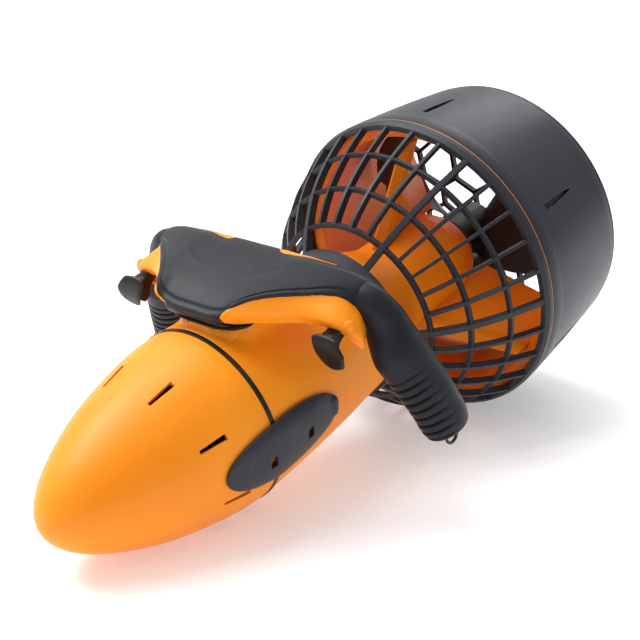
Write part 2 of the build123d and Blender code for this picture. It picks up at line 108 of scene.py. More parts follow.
DUCT_R_REAR = 125.0


# ---------------------------------------------------------------- materials

def node(tree, kind, **values):
    """A shader node with its settings and the constants of its sockets."""
    made = tree.nodes.new(kind)
    for key, value in values.items():
        if hasattr(made, key):
            setattr(made, key, value)
        else:
            made.inputs[key.replace("_", " ")].default_value = value
    return made


def ramp(tree, source, low, high, at=(0.0, 1.0)):
    """source remapped from the range at to low and high, clamped."""
    made = node(tree, "ShaderNodeMapRange", clamp=True)
    for i, value in enumerate((at[0], at[1], low, high)):
        made.inputs[i + 1].default_value = value
    tree.links.new(source, made.inputs[0])
    return made.outputs[0]


def mixed(tree, share, a, b):
    """The colour between a and b at share, each a socket or a constant."""
    made = node(tree, "ShaderNodeMix", data_type="RGBA")
    for socket, value in ((made.inputs[0], share), (made.inputs[6], a), (made.inputs[7], b)):
        if hasattr(value, "links"):
            tree.links.new(value, socket)
        elif isinstance(value, float):
            socket.default_value = value
        else:
            socket.default_value = (*value, 1.0)
    return made.outputs[2]


def maths(tree, operation, a, b):
    """One step of arithmetic on sockets or numbers."""
    made = node(tree, "ShaderNodeMath", operation=operation)
    for socket, value in zip(made.inputs, (a, b)):
        if hasattr(value, "links"):
            tree.links.new(value, socket)
        else:
            socket.default_value = value
    return made.outputs[0]


def noise(tree, place, scale, detail=3.0, rough=0.5, stretch=None):
    """Noise at place, drawn out into streaks where stretch is given."""
    if stretch:
        mapping = node(tree, "ShaderNodeMapping")
        mapping.inputs["Scale"].default_value = stretch
        mapping.inputs["Rotation"].default_value = (0.3, 0.2, 0.6)
        tree.links.new(place, mapping.inputs["Vector"])
        place = mapping.outputs[0]
    made = node(tree, "ShaderNodeTexNoise", Scale=scale, Detail=detail, Roughness=rough)
    tree.links.new(place, made.inputs["Vector"])
    return made.outputs["Fac"]


def finish_of(name, base, deep, worn, rough, grain=0.1, grain_scale=1400.0, metal=0.0, scuff=0.35,
              edge=0.5, edge_r=0.0007, spec=0.5):
    """A moulded or metal finish: colour that drifts, pale worn edges, scuffs, and a fine grain."""
    mat = bpy.data.materials.new(name)
    mat.use_nodes = True
    tree = mat.node_tree
    shader = tree.nodes["Principled BSDF"]
    place = node(tree, "ShaderNodeTexCoord").outputs["Object"]
    drift = ramp(tree, noise(tree, place, 9.0, 2.0), 0.0, 1.0, (0.32, 0.68))
    mottle = ramp(tree, noise(tree, place, 70.0, 4.0, 0.6), 0.0, 0.35, (0.35, 0.75))
    colour = mixed(tree, drift, base, deep)
    colour = mixed(tree, mottle, colour, deep)
    bevel = node(tree, "ShaderNodeBevel", samples=4, Radius=edge_r)
    face = node(tree, "ShaderNodeNewGeometry")
    turn = node(tree, "ShaderNodeVectorMath", operation="DOT_PRODUCT")
    tree.links.new(bevel.outputs[0], turn.inputs[0])
    tree.links.new(face.outputs["Normal"], turn.inputs[1])
    rim = ramp(tree, turn.outputs["Value"], 1.0, 0.0, (0.86, 0.985))
    patches = ramp(tree, noise(tree, place, 160.0, 3.0), 0.15, 1.0, (0.4, 0.62))
    wear = maths(tree, "MULTIPLY", maths(tree, "MULTIPLY", rim, patches), edge)
    colour = mixed(tree, wear, colour, worn)
    streak = ramp(tree, noise(tree, place, 30.0, 4.0, 0.7, (3.0, 22.0, 3.0)), 0.0, 1.0, (0.62, 0.74))
    marks = maths(tree, "MULTIPLY", streak, scuff * 0.25)
    colour = mixed(tree, marks, colour, worn)
    tree.links.new(colour, shader.inputs["Base Color"])
    base_rough = ramp(tree, mottle, rough - 0.04, rough + 0.08)
    gloss = maths(tree, "ADD", base_rough, maths(tree, "MULTIPLY", streak, scuff * 0.3))
    tree.links.new(gloss, shader.inputs["Roughness"])
    fine = noise(tree, place, grain_scale, 2.0)
    height = maths(tree, "ADD", fine, maths(tree, "MULTIPLY", streak, 0.25))
    bump = node(tree, "ShaderNodeBump", Strength=grain, Distance=0.0003)
    tree.links.new(height, bump.inputs["Height"])
    tree.links.new(bevel.outputs[0], bump.inputs["Normal"])
    tree.links.new(bump.outputs[0], shader.inputs["Normal"])
    shader.inputs["Metallic"].default_value = metal
    shader.inputs["Specular IOR Level"].default_value = spec
    return mat


# Each finish: its colour, the deeper tone it drifts to, the tone of worn edges, and its roughness.
LOOKS = {
    "orange_shell": ((0.99, 0.325, 0.010), (0.95, 0.265, 0.004), (1.0, 0.50, 0.12), 0.44,
                     dict(grain=0.10, scuff=0.22, edge=0.4, spec=0.28)),
    "stator_orange": ((0.95, 0.27, 0.006), (0.88, 0.205, 0.003), (0.98, 0.45, 0.10), 0.44,
                      dict(grain=0.12, scuff=0.25, edge=0.45, spec=0.28)),
    "black_plastic": ((0.030, 0.033, 0.040), (0.021, 0.023, 0.029), (0.16, 0.17, 0.19), 0.40,
                      dict(grain=0.22, scuff=0.5, edge=0.45, spec=0.26)),
    "soft_black": ((0.022, 0.024, 0.028), (0.014, 0.015, 0.018), (0.10, 0.105, 0.115), 0.42,
                   dict(grain=0.30, grain_scale=2200.0, scuff=0.8, edge=0.35, edge_r=0.0009, spec=0.17)),
    "seal_rubber": ((0.012, 0.010, 0.010), (0.008, 0.007, 0.007), (0.22, 0.21, 0.22), 0.36,
                    dict(grain=0.15, edge=0.7, edge_r=0.0005, spec=0.35)),
    "propeller_black": ((0.016, 0.015, 0.015), (0.010, 0.010, 0.010), (0.09, 0.09, 0.09), 0.44,
                        dict(grain=0.25, scuff=0.4)),
    "trigger_black": ((0.012, 0.011, 0.010), (0.008, 0.0075, 0.007), (0.10, 0.10, 0.10), 0.40,
                      dict(grain=0.2, scuff=0.4, spec=0.25)),
    "steel": ((0.52, 0.52, 0.54), (0.40, 0.40, 0.42), (0.75, 0.75, 0.77), 0.28, dict(grain=0.08, metal=1.0)),
    "motor_steel": ((0.35, 0.36, 0.38), (0.25, 0.26, 0.28), (0.6, 0.6, 0.62), 0.36, dict(metal=1.0)),
    "inner_plastic": ((0.10, 0.11, 0.12), (0.07, 0.08, 0.09), (0.25, 0.25, 0.27), 0.5, {}),
    "brass": ((0.62, 0.42, 0.14), (0.48, 0.30, 0.08), (0.85, 0.68, 0.35), 0.3, dict(metal=1.0)),
}
FINISH = {name: finish_of(name, *look[:4], **look[4]) for name, look in LOOKS.items()}

for part in frame["record"]["subparts"]:
    owner = NODES[part["node"]]
    owner.data.materials.clear()
    finish_name = "propeller_black" if part["node"].startswith("lanyard") else part["material_slot"]
    owner.data.materials.append(FINISH[finish_name])


# ---------------------------------------------------------------- mesh tools

def spline(knots, values, at):
    """A smooth curve through values at knots, read at the places in at."""
    knots, values, at = (np.asarray(v, float) for v in (knots, values, at))
    slopes = np.gradient(values, knots, axis=0)
    i = np.clip(np.searchsorted(knots, at, side="right") - 1, 0, len(knots) - 2)
    step = (knots[i + 1] - knots[i])[:, None]
    t = (at[:, None] - knots[i][:, None]) / step
    rise = (2 * t**3 - 3 * t**2 + 1) * values[i] + (3 * t**2 - 2 * t**3) * values[i + 1]
    return rise + ((t**3 - 2 * t**2 + t) * slopes[i] + (t**3 - t**2) * slopes[i + 1]) * step


def through(points, count):
    """count points on a smooth curve through points, and the curve's directions there."""
    points = np.asarray(points, float)
    knots = np.r_[0, np.cumsum(np.sqrt(np.linalg.norm(np.diff(points, axis=0), axis=1)))]
    at = np.linspace(0, knots[-1], count)
    line = spline(knots, points, at)
    along = np.gradient(line, at, axis=0)
    return line, along / np.linalg.norm(along, axis=1)[:, None]


def line_at(line, x):
    """The radius of a profile line at each x."""
    knots = [p[0] for p in line]
    return spline(knots, [[p[1]] for p in line], np.clip(np.atleast_1d(x), knots[0], knots[-1]))[:, 0]


def smoothstep(x, low, high):
    """0 below low, 1 above high, and a smooth rise between."""
    t = np.clip((np.asarray(x, float) - low) / (high - low), 0, 1)
    return t * t * (3 - 2 * t)


def bell(x, centre, width):
    """1 at centre, falling off to nothing over about two widths."""
    return np.exp(-((np.asarray(x, float) - centre) / width) ** 2)


def grid_faces(rows, cols, wrap=False):
    """Quads over a grid of points, row by row. wrap closes each row on itself."""
    faces = []
    for r in range(rows - 1):
        for c in range(cols if wrap else cols - 1):
            d = (c + 1) % cols
            a, b = r * cols, (r + 1) * cols
            faces.append((a + c, a + d, b + d, b + c))
    return faces


def piece(name, verts, faces, body, slot, replaces=(), flip=False, sharp=38.0):
    """A mesh piece in place, riding on body. flip mirrors it to the rider's right."""
    verts = np.array(verts, float).reshape(-1, 3)
    if flip:
        verts = verts * (1, -1, 1)
    mesh = bpy.data.meshes.new(name)
    mesh.from_pydata(verts.tolist(), [], faces)
    mesh.transform(TO_ROW)
    work = bmesh.new()
    work.from_mesh(mesh)
    bmesh.ops.remove_doubles(work, verts=work.verts, dist=2e-6)
    bmesh.ops.recalc_face_normals(work, faces=work.faces)
    if work.calc_volume(signed=True) < 0:
        bmesh.ops.reverse_faces(work, faces=work.faces)
    work.to_mesh(mesh)
    work.free()
    mesh.polygons.foreach_set("use_smooth", [True] * len(mesh.polygons))
    mesh.set_sharp_from_angle(angle=math.radians(sharp))
    mesh.materials.append(FINISH[slot])
    obj = bpy.data.objects.new(name, mesh)
    bpy.context.collection.objects.link(obj)
    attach(obj, body)
    if replaces:
        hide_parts(*replaces)
    return obj


def shell(outer, inner, wrap=False):
    """Vertices and faces of the closed solid between two grids of points."""
    rows, cols = outer.shape[:2]
    size = rows * cols
    verts = np.concatenate([outer.reshape(-1, 3), inner.reshape(-1, 3)])
    faces = grid_faces(rows, cols, wrap)
    faces += [tuple(size + i for i in reversed(f)) for f in grid_faces(rows, cols, wrap)]
    for row in (0, rows - 1):
        for c in range(cols if wrap else cols - 1):
            a, b = row * cols + c, row * cols + (c + 1) % cols
            faces.append((a, b, size + b, size + a))
    if not wrap:
        for col in (0, cols - 1):
            for r in range(rows - 1):
                a, b = r * cols + col, (r + 1) * cols + col
                faces.append((a, b, size + b, size + a))
    return verts, faces


def closed_tube(rings):
    """A closed solid through rings of points, each end closed on its middle."""
    rings = np.asarray(rings)
    rows, cols = rings.shape[:2]
    verts = np.concatenate([rings.reshape(-1, 3), rings[0].mean(0)[None], rings[-1].mean(0)[None]])
    faces = grid_faces(rows, cols, wrap=True)
    for c in range(cols):
        d = (c + 1) % cols
        faces.append((rows * cols, d, c))
        faces.append((rows * cols + 1, (rows - 1) * cols + c, (rows - 1) * cols + d))
    return verts, faces


def pillow(outline, surface, top, bottom, rings=14):
    """A closed pad: outline (n, 2) in the flat, surface(points) giving places and outward directions,
    and the heights of its top and bottom at each share of the way from the middle to the rim."""
    centre = outline.mean(0)
    shares = np.sin(np.linspace(0.02, math.pi / 2, rings))
    verts, rows = [], []
    for height, order in ((top, shares), (bottom, shares[::-1][1:])):
        for share in order:
            place, out = surface(centre + (outline - centre) * share)
            rows.append(place + out * height(share))
    return closed_tube(rows)


def ellipse(a, b, count, power=2.0, centre=(0.0, 0.0)):
    """count points on an ellipse, squarer where power is above 2."""
    t = np.linspace(0, 2 * math.pi, count, endpoint=False)
    c, s = np.cos(t), np.sin(t)
    x = a * np.sign(c) * abs(c) ** (2 / power)
    y = b * np.sign(s) * abs(s) ** (2 / power)
    return np.c_[centre[0] + x, centre[1] + y]


def take_away(obj, work):
    """Cuts the closed shapes in work, in millimetres, out of a closed piece."""
    mesh = bpy.data.meshes.new("cutter")
    work.to_mesh(mesh)
    work.free()
    mesh.transform(TO_ROW)
    tool = bpy.data.objects.new("cutter", mesh)
    bpy.context.collection.objects.link(tool)
    change = obj.modifiers.new("cut", "BOOLEAN")
    change.operation = "DIFFERENCE"
    change.solver = "MANIFOLD"
    change.object = tool
    bpy.context.view_layer.update()
    made = bpy.data.meshes.new_from_object(obj.evaluated_get(bpy.context.evaluated_depsgraph_get()))
    made.materials.clear()
    made.materials.append(obj.data.materials[0])
    obj.modifiers.clear()
    obj.data = made
    bpy.data.objects.remove(tool)
    made.polygons.foreach_set("use_smooth", [True] * len(made.polygons))
    made.set_sharp_from_angle(angle=math.radians(38.0))


def finger_hole(obj, middle, size, flip):
    """Takes a box with rounded edges out of a closed piece."""
    work = bmesh.new()
    bmesh.ops.create_cube(work, size=1.0)
    for v in work.verts:
        v.co = Vector(v.co[i] * size[i] + middle[i] for i in range(3))
        if flip:
            v.co.y = -v.co.y
    bmesh.ops.bevel(work, geom=work.edges[:], offset=1.1, segments=3, affect="EDGES", profile=0.5)
    bmesh.ops.recalc_face_normals(work, faces=work.faces)
    take_away(obj, work)


# ---------------------------------------------------------------- battery body

def neck_radius(x, angle):
    """How far out the neck under the handle reaches, as a rounded block with sloping ends."""
    half = 37.0 * np.sqrt(np.clip(1 - abs((x - NECK_MIDDLE) / 44.0) ** 3, 0, 1)) + 0.01
    top = NECK_TOP - 7.5 * smoothstep(x, 234, 264) - 6.0 * smoothstep(-x, -204, -178)
    flat = top / np.maximum(np.cos(angle), 0.2)
    side = half / np.maximum(abs(np.sin(angle)), 0.02)
    return np.where(np.cos(angle) > 0.2, -4.0 * np.logaddexp(-flat / 4.0, -side / 4.0), 0)


def body_radius(x, angle):
    """Outside of the body at x and an angle from the top towards the rider's left."""
    base = line_at(BODY_LINE, x)
    neck = neck_radius(x, angle)
    blend = 6.0 * np.log1p(np.exp(np.clip((neck - base) / 6.0, -30, 30)))
    return base + blend * smoothstep(neck, 20, 60)


def body_shell():
    """The body with its neck, two fine moulding lines beside it, and a pocket for each latch's hinge."""
    lines = [math.radians(a) for a in (-23.5, 23.5)]
    angles = np.linspace(-math.pi, math.pi, 240, endpoint=False)
    extra = np.concatenate([line + np.radians(np.linspace(-1.5, 1.5, 11)) for line in lines])
    angles = np.unique(np.round(np.concatenate([angles, extra]), 5))
    xs = np.unique(np.concatenate([np.linspace(110, 270, 81), np.linspace(267.5, 270, 5)]))
    outer, inner = [], []
    for x in xs:
        r = body_radius(np.full(len(angles), x), angles)
        for line in lines:
            r = r - 0.55 * bell((angles - line) * r, 0, 0.8) * smoothstep(x, 228, 236)
        across = np.radians(90) + math.asin(5.0 / 72.0)
        for side in (-1, 1):
            reach = abs(angles - side * across) * 72.0
            r = r - 3.0 * (1 - smoothstep(reach, 4.5, 7.0)) * (1 - smoothstep(abs(x - 206.0), 3.0, 5.0))
        r = r - 0.8 * smoothstep(x, 268.6, 270)
        outer.append(np.c_[np.full(len(angles), x), r * np.sin(angles), r * np.cos(angles)])
        r = r - BODY_WALL
        inner.append(np.c_[np.full(len(angles), x), r * np.sin(angles), r * np.cos(angles)])
    verts, faces = shell(np.array(outer), np.array(inner), wrap=True)
    piece("body_shell_smooth", verts, faces, "hull", "orange_shell", ["body_shell"])


def latch_hinge(flip):
    """A short pin in a rounded lug on the body, sunk into the solid tail of the latch."""
    z = LATCH_CENTRE[1]
    verts, faces = [], []
    for half, parts in ((2.4, (3.0, 4.2, 72.4, 3.0)), (6.2, (1.15, 1.15, LATCH_PIN[1] - 0.6, 2.0))):
        rings = []
        for height, share in ((-half, 0.75), (0.4 - half, 1.0), (half - 0.4, 1.0), (half, 0.75)):
            ring = ellipse(parts[0] * share, parts[1] * share, 24, parts[3], (LATCH_PIN[0], parts[2]))
            rings.append(np.c_[ring, np.full(24, z + height)])
        more, quads = closed_tube(rings)
        start = sum(len(v) for v in verts)
        faces += [tuple(start + i for i in quad) for quad in quads]
        verts.append(more)
    side = "right" if flip else "left"
    verts = np.concatenate(verts)
    piece("latch_hinge_" + side, verts, faces, "hull", "steel", ["latch_pin_" + side], flip=flip)


# ---------------------------------------------------------------- handle

def wing_controls(ys):
    """The seven corners of the wing's section at each y, as (n, 7, 2)."""
    rows = [(-r[0], *r[1:]) for r in reversed(WING[1:])] + WING
    values = [np.array(r[1:], float).ravel() for r in rows]
    return spline([r[0] for r in rows], values, ys).reshape(-1, 7, 2)


def wing_sections(ys, count=121):
    """Places (n, count, 3), outward directions and arc lengths past the cover's edge, front to rear."""
    places, outs, arcs = [], [], []
    for y, corners in zip(ys, wing_controls(ys)):
        line, along = through(corners, count)
        edge = int(np.argmin(np.linalg.norm(line - corners[2], axis=1)))
        arc = np.r_[0, np.cumsum(np.linalg.norm(np.diff(line, axis=0), axis=1))]
        places.append(np.c_[line[:, 0], np.full(count, y), line[:, 1]])
        outs.append(np.c_[along[:, 1], np.zeros(count), -along[:, 0]])
        arcs.append(arc - arc[edge])
    return np.array(places), np.array(outs), np.array(arcs)


def by_arc(ys, wanted):
    """Places and directions on the wing at the arc lengths wanted(y) past the cover's edge."""
    places, outs, arcs = wing_sections(ys)
    found, ways = [], []
    for place, out, arc, want in zip(places, outs, arcs, wanted):
        found.append(np.c_[[np.interp(want, arc, place[:, i]) for i in range(3)]].T)
        way = np.c_[[np.interp(want, arc, out[:, i]) for i in range(3)]].T
        ways.append(way / np.linalg.norm(way, axis=1)[:, None])
    return np.array(found), np.array(ways)


def handle_cover():
    """The soft skin over the wing: a rolled front edge with a groove behind it, and a shallow fold."""
    ys = np.linspace(-119, 119, 149)
    ends = wing_sections(ys)[2][:, -1]
    lip = np.array([0, 0.3, 0.8, 1.5, 2.3, 3.2, 4.2, 5.0, 5.5, 6.0, 6.5, 7.0, 7.5, 8.2, 9.2])
    wanted = np.array([np.r_[lip, np.linspace(10.4, end, 56)] for end in ends])
    place, out = by_arc(ys, wanted)
    rise = 0.7 + 0.9 * bell(wanted, 1.8, 1.6) - 1.0 * bell(wanted, 6.5, 0.8) - 1.1 * bell(wanted, 0, 0.4)
    fold = bell(wanted - 0.36 * ends[:, None], 0, 2.5) * bell(abs(ys), 52, 26)[:, None]
    rise = rise + 0.8 * fold
    for shift in (10, 13.5, 17):
        groove = bell(place[:, :, 1] * 0.55 + wanted, shift + 15, 0.7) * (1 - smoothstep(wanted, 4, 12))
        rise = rise - 0.6 * groove * bell(ys, 30, 8)[:, None]
    bend = np.clip((abs(ys) - 103) / 16, 0, 1)[:, None] ** 2
    place[:, :, 2] -= 13.0 * bend
    place[:, :, 0] += (189 - place[:, :, 0]) * 0.25 * bend
    outer = place + out * rise[:, :, None]
    inner = place - out * 1.6
    verts, faces = shell(outer, inner)
    piece("handle_cover_soft", verts, faces, "hull", "soft_black", ["handle_cover"])


def handle_frame():
    """The frame's body under the cover, set back behind the crescents, up to the triggers' hubs."""
    ys = np.linspace(-93.5, 93.5, 95)
    place, out, arc = wing_sections(ys, 97)
    place = place - out * np.where(arc > 0.5, 0.8, 2.6)[:, :, None]
    floor_share = np.linspace(0, 1, 22)[1:-1, None]
    rings = [np.concatenate([ring, ring[-1] + (ring[0] - ring[-1]) * floor_share]) for ring in place]
    verts, faces = closed_tube(rings)
    piece("handle_frame_core", verts, faces, "hull", "orange_shell", ["handle_frame"])


def crescent(flip):
    """The bulging orange band that shows under the cover's front edge and wraps the cheek."""
    rows = np.array(CRESCENT, float)
    flat = rows.reshape(len(rows), 9)
    knots = np.r_[0, np.cumsum(np.linalg.norm(np.diff(rows[:, 1], axis=0), axis=1))]
    dense = spline(knots, flat, np.linspace(0, knots[-1], 110)).reshape(-1, 3, 3)
    for _ in range(3):
        dense[1:-1] = 0.25 * dense[:-2] + 0.5 * dense[1:-1] + 0.25 * dense[2:]
    outer = np.array([through(row, 25)[0] for row in dense])
    along = np.gradient(outer, axis=0)
    across = np.gradient(outer, axis=1)
    out = np.cross(across, along)
    out = out / np.maximum(np.linalg.norm(out, axis=2), 1e-9)[:, :, None]
    if out[50, 12, 0] < 0:
        out = -out
    verts, faces = shell(outer, outer - out * 1.6)
    name = "handle_cheek_right" if flip else "handle_cheek_left"
    piece(name, verts, faces, "hull", "orange_shell", flip=flip, sharp=50)


def handle_prow():
    """The soft cover's turned-under front, between the two orange crescents."""
    ys = np.linspace(-30, 30, 61)
    starts = wing_sections(ys)[2][:, 0]
    wanted = np.array([np.linspace(start, 1.2, 22) for start in starts])
    place, out = by_arc(ys, wanted)
    rise = 0.9 - 1.6 * smoothstep(abs(ys), 26, 30)[:, None] + 0 * wanted
    verts, faces = shell(place + out * rise[:, :, None], place - out * 1.4)
    piece("handle_prow", verts, faces, "hull", "soft_black")


def handle_base():
    """The dark plate between neck and handle."""
    half = [(262.3, 0), (262.5, 12), (261.5, 22), (257, 34), (250, 39.5), (238, 40.5), (210, 38)]
    half += [(184, 33), (181, 0)]
    line = through(half, 60)[0]
    outline = np.concatenate([line, line[-2:0:-1] * (1, -1)])

    def surface(points):
        return np.c_[points, np.full(len(points), 79.2)], np.tile((0.0, 0.0, 1.0), (len(points), 1))

    def rim(share):
        return (1 - share**10) ** 0.5

    verts, faces = pillow(outline, surface, lambda s: 1.8 * rim(s), lambda s: -2.2 * rim(s))
    piece("handle_base_plate", verts, faces, "hull", "soft_black", ["handle_base"])


def inlay(flip):
    """The slim orange inlay along the rear top edge of the cover."""
    ys = np.linspace(24, 74, 41)
    places, _, arcs = wing_sections(ys)
    middle = []
    for place, arc, corners in zip(places, arcs, wing_controls(ys)):
        rear_edge = np.argmin(np.linalg.norm(place[:, [0, 2]] - corners[5], axis=1))
        middle.append(arc[rear_edge])
    middle = np.array(middle)
    share = (ys - ys[0]) / (ys[-1] - ys[0])
    width = 7.5 * np.sqrt(np.clip(share / 0.12, 0, 1)) * (1 - share) ** 0.8 + 0.05
    across = np.linspace(-1, 1, 13)
    wanted = middle[:, None] - 8.0 + across[None] * width[:, None] / 2
    place, out = by_arc(ys, wanted)
    rise = 0.7 + 0.55 * np.sqrt(np.clip(1 - across**6, 0, 1))[None] * np.ones((41, 1))
    verts, faces = shell(place + out * rise[:, :, None], place - out * 0.4)
    name = "handle_inlay_right" if flip else "handle_inlay_left"
    piece(name, verts, faces, "hull", "orange_shell", flip=flip)


def pivot_button(flip):
    """The round head over the end of the trigger's pin, on the outside of the cheek."""
    middle = np.array((216.5, 112.6, 82.2))
    out = np.array((0.62, 0.72, 0.32))
    out = out / np.linalg.norm(out)
    side = np.cross(out, (0, 0, 1.0))
    side = side / np.linalg.norm(side)
    up = np.cross(side, out)

    def surface(points):
        return middle + points[:, :1] * side + points[:, 1:] * up, np.tile(out, (len(points), 1))

    def dome(share):
        return 2.6 * (1 - share**3) ** 0.5 + 0.4

    verts, faces = pillow(ellipse(4.4, 4.4, 32), surface, dome, lambda s: -3.0, 10)
    name = "pivot_button_right" if flip else "pivot_button_left"
    piece(name, verts, faces, "hull", "orange_shell", flip=flip)


# ---------------------------------------------------------------- grips, triggers and latches

def grip(flip):
    """A grip: an oval bar that flows down from the wing's end, ribbed for the fingers, with a round foot."""
    line, along = through(SHOULDER + GRIP_PATH, 361)
    length = np.r_[0, np.cumsum(np.linalg.norm(np.diff(line, axis=0), axis=1))]
    start = length[np.argmin(np.linalg.norm(line - SHOULDER[-1], axis=1))]
    share = (length - start) / (length[-1] - start)
    stations = [(0, 0.98), (0.25, 1.02), (0.5, 1.0), (0.75, 0.98), (0.93, 0.92), (1.0, 0.78)]
    swell = spline([s[0] for s in stations], [[s[1]] for s in stations], np.clip(share, 0, 1))[:, 0]
    swell = swell * (1 - 0.17 * (1 - smoothstep(share, -0.25, 0.08)))
    foot = np.sqrt(np.clip(1 - (np.maximum(0.0, share - 0.955) / 0.047) ** 2, 0, 1))
    valley = (0.5 + 0.5 * np.cos(2 * math.pi * (share - 0.42) / RIB_PITCH)) ** 6
    ribbed = smoothstep(share, 0.40, 0.44) * (1 - smoothstep(share, 0.93, 0.95))
    narrow = 0.30 * (1 - smoothstep(share, 0.02, 0.30))
    turn = np.linspace(0, 2 * math.pi, 96, endpoint=False)
    facing = smoothstep(np.cos(turn - 0.9), -0.80, 0.0)
    rings = []
    for place, way, size, groove, slim in zip(line, along, swell * foot, 2.4 * valley * ribbed, narrow):
        side = np.array((1.0, 0, 0)) - way * way[0]
        side = side / np.linalg.norm(side)
        inward = np.cross(way, side)
        a = np.maximum((GRIP_R[0] * size * 0.995 - groove * facing) * (1 - slim), 0.2)
        b = np.maximum(GRIP_R[1] * size * 0.995 - groove * facing, 0.2)
        middle = place - side * (GRIP_R[0] * size * slim)
        rings.append(middle + side * (a * np.cos(turn))[:, None] + inward * (b * np.sin(turn))[:, None])
    verts, faces = closed_tube(rings)
    name = "grip_right" if flip else "grip_left"
    piece(name + "_ribbed", verts, faces, "hull", "soft_black", [name], flip=flip, sharp=60)


def rounded(corners, times=4):
    """A closed outline with its corners cut back over and over."""
    line = np.asarray(corners, float)
    for _ in range(times):
        after = np.roll(line, -1, axis=0)
        line = np.stack([0.75 * line + 0.25 * after, 0.25 * line + 0.75 * after], axis=1).reshape(-1, 2)
    return line


def trigger(flip):
    """A curved finger paddle on a deep arm, which turns about the pin in the cheek. The arm has no
    clearance: the cheek's lower edge runs 2.6 mm into it, and it takes in half of the spring."""
    down = [(46, 228.5), (52, 233.5), (60, 237.4), (68, 238.9), (75, 237.6), (82, 233.5), (86, 230)]
    down = np.array(down)

    def surface(points):
        y, z = points[:, 0], points[:, 1]
        x = spline(down[:, 0], down[:, 1:], z)[:, 0]
        slope = spline(down[:, 0], np.gradient(down[:, 1], down[:, 0])[:, None], z)[:, 0]
        out = np.c_[np.ones(len(z)), 0 * z, -slope]
        return np.c_[x - 1.9, y, z], out / np.linalg.norm(out, axis=1)[:, None]

    def rim(share):
        return (1 - share**9) ** 0.5

    outline = rounded([(90.6, 76.3), (91.4, 78.8), (97, 80.8), (112, 80.2), (115.5, 78), (121.8, 70.5),
                       (122.2, 67), (119.9, 58.8), (117.5, 56.6), (108, 52.2), (101.5, 54)])
    verts, faces = pillow(outline, surface, lambda s: 1.9 * rim(s), lambda s: -1.5 * rim(s), 16)
    x, z = PIVOT
    web = rounded([(x - 4.5, z - 5), (x - 4.5, z + 5), (x + 4, z + 5), (x + 7, z - 4.5), (x + 17, z - 3.6),
                   (x + 22.5, z - 9), (x + 22.3, z - 17), (x + 18, z - 27), (x + 13, z - 23),
                   (x + 11, z - 14), (x + 2, z - 9)], 3)
    centre = np.array((x + 8.0, z - 8.0))
    rings = []
    arm_widths = ((95.4, 0.8), (96.2, 0.9), (98.0, 1.0), (105.0, 1.0), (106.8, 0.9), (107.6, 0.8))
    for y, share in arm_widths:
        ring = centre + (web - centre) * share
        rings.append(np.c_[ring[:, 0], np.full(len(ring), y), ring[:, 1]])
    more, quads = closed_tube(rings)
    faces += [tuple(i + len(verts) for i in quad) for quad in quads]
    name = "trigger_right" if flip else "trigger_left"
    verts = np.concatenate([verts, more])
    piece(name + "_paddle", verts, faces, name, "trigger_black", [name], flip=flip)


def latch(flip):
    """An oval, domed plate over the joint between nose and body, with two finger holes."""
    def surface(points):
        x, z = points[:, 0], points[:, 1]
        r = line_at(LATCH_LINE, x)
        y = np.sqrt(r * r - z * z)
        slope = np.gradient(line_at(LATCH_LINE, np.arange(190.0, 336.0)))
        lean = np.interp(x, np.arange(190.0, 336.0), slope)
        out = np.c_[-lean * y / r, y / r, z / r]
        out = out / np.linalg.norm(out, axis=1)[:, None]
        knuckle = 1.9 * bell(x, LATCH_PIN[0], 3.6) * (1 - smoothstep(abs(z - LATCH_CENTRE[1]), 6.0, 9.5))
        return np.c_[x, y, z] + out * knuckle[:, None], out

    outline = ellipse(LATCH_HALF[0] - 0.2, LATCH_HALF[1] - 0.2, 128, 2.1, LATCH_CENTRE)

    def top(s):
        return 2.6 + 2.9 * (1 - s**2.2) ** 0.5 if s < 0.995 else 1.6

    def bottom(s):
        return 0.6 + 2.4 * float(1 - smoothstep(s, 0.72, 0.9)) if s < 0.995 else 0.7

    verts, faces = pillow(outline, surface, top, bottom, 22)
    name = "latch_right" if flip else "latch_left"
    node_name = "side_latch_right" if flip else "side_latch_left"
    obj = piece(name + "_dome", verts, faces, name, "black_plastic", [node_name], flip=flip)
    for x in (239, 283):
        finger_hole(obj, (x, 76, LATCH_CENTRE[1] - 4), (7, 24, 9), flip)


# ---------------------------------------------------------------- duct

def lathe(name, line, slot, replaces=(), count=240, sharp=38.0):
    """A ring turned about the thrust axis from a closed outline of (x, r)."""
    turn = np.linspace(0, 2 * math.pi, count, endpoint=False)
    rings = np.array([np.c_[np.full(count, x), r * np.sin(turn), r * np.cos(turn)] for x, r in line])
    faces = grid_faces(len(line), count, wrap=True)
    last = (len(line) - 1) * count
    faces += [(last + c, last + (c + 1) % count, (c + 1) % count, c) for c in range(count)]
    return piece(name, rings, faces, "hull", slot, replaces, sharp=sharp)


def duct_radius(x):
    """Outside of the duct's straight taper at x."""
    return DUCT_R_FRONT + (DUCT_R_REAR - DUCT_R_FRONT) * (DUCT_FRONT - x) / (DUCT_FRONT - DUCT_REAR)


